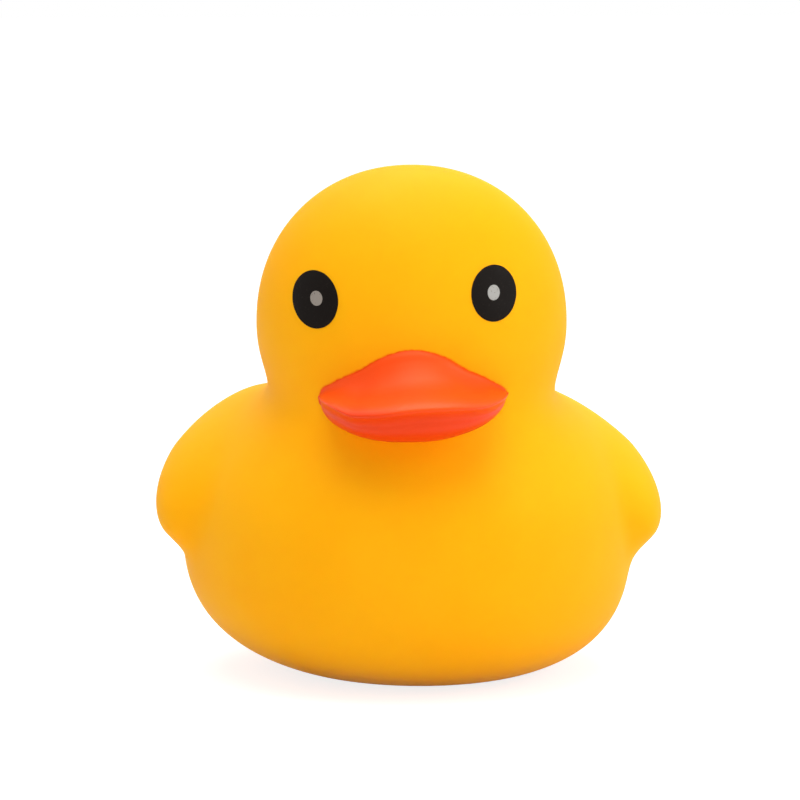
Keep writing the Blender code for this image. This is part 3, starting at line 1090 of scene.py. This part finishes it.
def print_tree() -> bpy.types.NodeTree:
    """Build the Geometry Nodes tree that lays an oval print on the skin from straight in front.

    Returns:
        The tree, which makes a thin closed pad.
    """
    rim_points, fill_rings = 96, 8
    waver_scale, waver_detail = 3.5, 4.0
    cast_from, cast_length = -60.0 * MM, 100.0 * MM
    tree = bpy.data.node_groups.new("print on skin", "GeometryNodeTree")
    kinds = {PrintInput.SKIN: "NodeSocketObject", PrintInput.INK: "NodeSocketMaterial"}
    for name in PrintInput:
        kind = kinds.get(name, "NodeSocketFloat")
        tree.interface.new_socket(name.value, in_out="INPUT", socket_type=kind)
    tree.interface.new_socket("Geometry", in_out="OUTPUT", socket_type="NodeSocketGeometry")
    bench = NodeBench(tree)
    given = bench.add("NodeGroupInput").outputs
    disc = bench.add(
        "GeometryNodeMeshCylinder",
        {
            "Vertices": rim_points,
            "Side Segments": 1,
            "Fill Segments": fill_rings,
            "Radius": 1.0,
            "Depth": 2.0,
        },
        fill_type="TRIANGLE_FAN",
    )
    position = bench.add("GeometryNodeInputPosition").outputs[0]
    place = bench.add("ShaderNodeSeparateXYZ", {0: position}).outputs
    middle_x, middle_z = given[PrintInput.MIDDLE_X.value], given[PrintInput.MIDDLE_Z.value]
    flat = bench.add("ShaderNodeCombineXYZ", {0: place[0], 1: place[1], 2: middle_x}).outputs[0]
    noise = bench.add(
        "ShaderNodeTexNoise", {"Vector": flat, "Scale": waver_scale, "Detail": waver_detail}
    )
    centred = bench.maths("SUBTRACT", noise.outputs[0], 0.5)
    waver = bench.maths("MULTIPLY", centred, given[PrintInput.RAGGEDNESS.value])
    size = bench.maths("ADD", waver, 1.0)
    wide, high = bench.maths("MULTIPLY", place[0], size), bench.maths("MULTIPLY", place[1], size)
    across = bench.maths("MULTIPLY", wide, given[PrintInput.HALF_WIDTH.value])
    upward = bench.maths("MULTIPLY", high, given[PrintInput.HALF_HEIGHT.value])
    start = bench.add(
        "ShaderNodeCombineXYZ",
        {
            0: bench.maths("ADD", across, middle_x),
            1: cast_from,
            2: bench.maths("ADD", upward, middle_z),
        },
    )
    target = bench.add("GeometryNodeObjectInfo", {"Object": given[PrintInput.SKIN.value]})
    ray = bench.add(
        "GeometryNodeRaycast",
        {
            "Target Geometry": target.outputs["Geometry"],
            "Source Position": start.outputs[0],
            "Ray Direction": (0.0, 1.0, 0.0),
            "Ray Length": cast_length,
        },
    )
    rise = bench.maths("MULTIPLY", place[2], given[PrintInput.RISE.value])
    lift = bench.add("ShaderNodeVectorMath", {0: ray.outputs["Hit Normal"], 3: rise}, operation="SCALE")
    final = bench.add(
        "ShaderNodeVectorMath", {0: ray.outputs["Hit Position"], 1: lift.outputs[0]}, operation="ADD"
    )
    laid = bench.add(
        "GeometryNodeSetPosition", {"Geometry": disc.outputs["Mesh"], "Position": final.outputs[0]}
    )
    real = bench.add("GeometryNodeRealizeInstances", {"Geometry": laid.outputs[0]})
    inked = bench.add(
        "GeometryNodeSetMaterial", {"Geometry": real.outputs[0], "Material": given[PrintInput.INK.value]}
    )
    bench.add("NodeGroupOutput", {"Geometry": inked.outputs[0]})
    return tree


@dataclass(frozen=True)
class OvalPrint:
    """One oval of ink on the skin, given as it is seen from straight in front."""

    name: str
    middle_x: float
    middle_z: float
    half_width: float
    half_height: float
    rise: float = 0.06 * MM
    raggedness: float = 0.02
    crease_deg: float = 40.0

    def build(
        self, tree: bpy.types.NodeTree, skin: bpy.types.Object, ink: bpy.types.Material
    ) -> bpy.types.Object:
        """Lay the print on the skin.

        Args:
            tree: The tree of an oval print.
            skin: The object that the print lies on.
            ink: The print's material.

        Returns:
            The print as a thin closed pad.
        """
        obj = link(bpy.data.meshes.new(self.name), self.name)
        modifier = obj.modifiers.new("print", "NODES")
        modifier.node_group = tree
        values = {
            PrintInput.SKIN: skin,
            PrintInput.MIDDLE_X: self.middle_x,
            PrintInput.MIDDLE_Z: self.middle_z,
            PrintInput.HALF_WIDTH: self.half_width,
            PrintInput.HALF_HEIGHT: self.half_height,
            PrintInput.RISE: self.rise,
            PrintInput.RAGGEDNESS: self.raggedness,
            PrintInput.INK: ink,
        }
        for name, value in values.items():
            modifier[tree.interface.items_tree[name.value].identifier] = value
        pad = applied(obj, self.name)
        shape = bmesh.new()
        shape.from_mesh(pad.data)
        bmesh.ops.recalc_face_normals(shape, faces=shape.faces)
        shape.to_mesh(pad.data)
        shape.free()
        pad.data.shade_smooth()
        pad.data.set_sharp_from_angle(angle=math.radians(self.crease_deg))
        return pad


@dataclass(frozen=True)
class EyePrints:
    """The two printed eyes: a black oval with an off-white dot on each side, the left one worn."""

    blacks: tuple[OvalPrint, ...] = (
        OvalPrint("left_eye_print", -18.4 * MM, 71.15 * MM, 3.81 * MM, 5.0 * MM),
        OvalPrint("right_eye_print", 12.7 * MM, 72.4 * MM, 4.15 * MM, 4.87 * MM),
    )
    worn_whites: tuple[OvalPrint, ...] = (
        OvalPrint("left_eye_dot", -18.2 * MM, 71.4 * MM, 1.0 * MM, 1.28 * MM, 0.11 * MM, 0.05),
    )
    whites: tuple[OvalPrint, ...] = (
        OvalPrint("right_eye_dot", 12.6 * MM, 72.55 * MM, 1.1 * MM, 1.32 * MM, 0.11 * MM, 0.05),
    )
    black: PrintInk = PrintInk("black eye ink", (0.006, 0.004, 0.003), (0.012, 0.009, 0.007), 0.45, 0.06)
    worn_white: PrintInk = PrintInk(
        "worn off-white eye ink", (0.25, 0.22, 0.19), (0.11, 0.09, 0.08), 0.5, 0.1
    )
    white: PrintInk = PrintInk("off-white eye ink", (0.34, 0.33, 0.31), (0.2, 0.19, 0.17), 0.5, 0.1)

    def build(self, skin: bpy.types.Object, grain: bpy.types.NodeTree) -> list[bpy.types.Object]:
        """Lay the prints on the skin.

        Args:
            skin: The moulding.
            grain: The group of the moulded grain.

        Returns:
            The prints.
        """
        tree = print_tree()
        made = []
        inks = (
            (self.blacks, self.black),
            (self.worn_whites, self.worn_white),
            (self.whites, self.white),
        )
        for ovals, ink in inks:
            material = ink.material(grain)
            made.extend(oval.build(tree, skin, material) for oval in ovals)
        bpy.data.node_groups.remove(tree)
        return made


@dataclass(frozen=True)
class SoftLamp:
    """A square soft box that faces the duck."""

    name: str
    place: tuple[float, float, float]
    size: float
    power: float

    def build(self, aim: Vector) -> bpy.types.Object:
        """Hang the lamp.

        Args:
            aim: The point that it faces.

        Returns:
            The lamp.
        """
        light = bpy.data.lights.new(self.name, "AREA")
        light.size = self.size
        light.energy = self.power
        lamp = bpy.data.objects.new(self.name, light)
        bpy.context.scene.collection.objects.link(lamp)
        lamp.location = self.place
        lamp.rotation_euler = (aim - Vector(self.place)).to_track_quat("-Z", "Y").to_euler()
        return lamp


@dataclass(frozen=True)
class Studio:
    """A white table, an even white room, soft lamps and the camera."""

    lamps: tuple[SoftLamp, ...] = (
        SoftLamp("top lamp", (0.0, -0.16, 1.0), 0.9, 7.2),
        SoftLamp("rear lamp", (0.0, 0.5, 0.95), 0.8, 4.3),
        SoftLamp("side lamp", (0.95, -0.34, 0.5), 0.7, 4.4),
        SoftLamp("front lamp", (0.0, -1.2, 0.12), 0.5, 3.0),
    )
    room_level: float = 0.56
    floor_size: float = 6.0
    floor_glow: float = 0.8
    floor_colour: Colour = (0.8, 0.8, 0.8)
    seen_floor_colour: Colour = (0.4, 0.4, 0.4)
    aim: tuple[float, float, float] = (0.0, 0.0, 48.2 * MM)
    distance: float = 0.8
    azimuth_deg: float = -4.18
    elevation_deg: float = 7.37
    pixel: float = 0.183 * MM
    middle_px: tuple[float, float] = (407.9, 407.1)
    image_px: float = 800.0
    sensor_mm: float = 36.0
    nearest: float = 0.01
    farthest: float = 20.0

    def build(self) -> None:
        """Set up the studio."""
        scene = bpy.context.scene
        scene.view_settings.view_transform = "Standard"
        self.build_room()
        self.build_floor()
        for lamp in self.lamps:
            lamp.build(Vector(self.aim))
        scene.camera = self.build_camera()

    def seen(self, bench: NodeBench) -> bpy.types.NodeSocket:
        """Tell rays that show the background from rays that light the duck.

        Args:
            bench: The tree's bench.

        Returns:
            A socket that is 1 for camera, glossy and transmission rays.
        """
        path = bench.add("ShaderNodeLightPath").outputs
        glossy = bench.maths("ADD", path["Is Camera Ray"], path["Is Glossy Ray"])
        return bench.maths("ADD", glossy, path["Is Transmission Ray"], clamp=True)

    def build_room(self) -> None:
        """Light the room evenly and show it white."""
        world = bpy.data.worlds.new("white room")
        bpy.context.scene.world = world
        world.use_nodes = True
        world.node_tree.nodes.clear()
        bench = NodeBench(world.node_tree)
        strength = bench.spread(self.seen(bench), 0.0, 1.0, self.room_level, 1.0)
        glow = bench.add("ShaderNodeBackground", {"Color": paint_of(WHITE), "Strength": strength})
        bench.add("ShaderNodeOutputWorld", {"Surface": glow.outputs[0]})

    def build_floor(self) -> None:
        """Lay the white table, which keeps the duck's shadow."""
        half = self.floor_size / 2
        mesh = bpy.data.meshes.new("table")
        corners = [(-half, -half, 0), (half, -half, 0), (half, half, 0), (-half, half, 0)]
        mesh.from_pydata(corners, [], [(0, 1, 2, 3)])
        table = link(mesh, "table")
        material = bpy.data.materials.new("white table")
        material.use_nodes = True
        material.node_tree.nodes.clear()
        bench = NodeBench(material.node_tree)
        plain = bench.add("ShaderNodeBsdfDiffuse", {"Color": paint_of(self.floor_colour)})
        shown = bench.add("ShaderNodeBsdfDiffuse", {"Color": paint_of(self.seen_floor_colour)})
        glow = bench.add("ShaderNodeEmission", {"Color": paint_of(WHITE), "Strength": self.floor_glow})
        lit = bench.add("ShaderNodeAddShader", {0: shown.outputs[0], 1: glow.outputs[0]})
        both = bench.add(
            "ShaderNodeMixShader", {0: self.seen(bench), 1: plain.outputs[0], 2: lit.outputs[0]}
        )
        bench.add("ShaderNodeOutputMaterial", {"Surface": both.outputs[0]})
        mesh.materials.append(material)

    def build_camera(self) -> bpy.types.Object:
        """Set up the camera.

        Returns:
            The camera.
        """
        turn, lift = math.radians(self.azimuth_deg), math.radians(self.elevation_deg)
        back = Vector((math.sin(turn) * math.cos(lift), -math.cos(turn) * math.cos(lift), math.sin(lift)))
        data = bpy.data.cameras.new("camera")
        data.sensor_width = self.sensor_mm
        data.lens = self.sensor_mm * self.distance / (self.pixel * self.image_px)
        data.shift_x = (self.image_px / 2 - self.middle_px[0]) / self.image_px
        data.shift_y = (self.middle_px[1] - self.image_px / 2) / self.image_px
        data.clip_start, data.clip_end = self.nearest, self.farthest
        camera = bpy.data.objects.new("camera", data)
        bpy.context.scene.collection.objects.link(camera)
        camera.location = Vector(self.aim) + back * self.distance
        camera.rotation_euler = (-back).to_track_quat("-Z", "Y").to_euler()
        return camera


def main() -> None:
    """Build the duck and its studio."""
    logging.basicConfig(level=logging.INFO, format="%(name)s: %(message)s")
    for obj in list(bpy.data.objects):
        bpy.data.objects.remove(obj, do_unlink=True)
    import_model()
    Studio().build()
    grain, cover = moulded_grain(), paint_cover()
    form = DuckForm()
    vinyl = Vinyl("soft yellow vinyl").material(grain, cover)
    paint = Vinyl("orange bill paint", shine=0.32, soft_light=0.05).material(grain, cover)
    duck = Moulding(form, Bill(form), Vent()).build(vinyl, paint)
    log.info("moulding: %d faces", len(duck.data.polygons))
    pieces = [duck, *EyePrints().build(duck, grain)]
    for piece in pieces:
        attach(piece, "root")
        log.info("%s rides on root", piece.name)
    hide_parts("duck_shell")


if __name__ == "__main__":
    main()
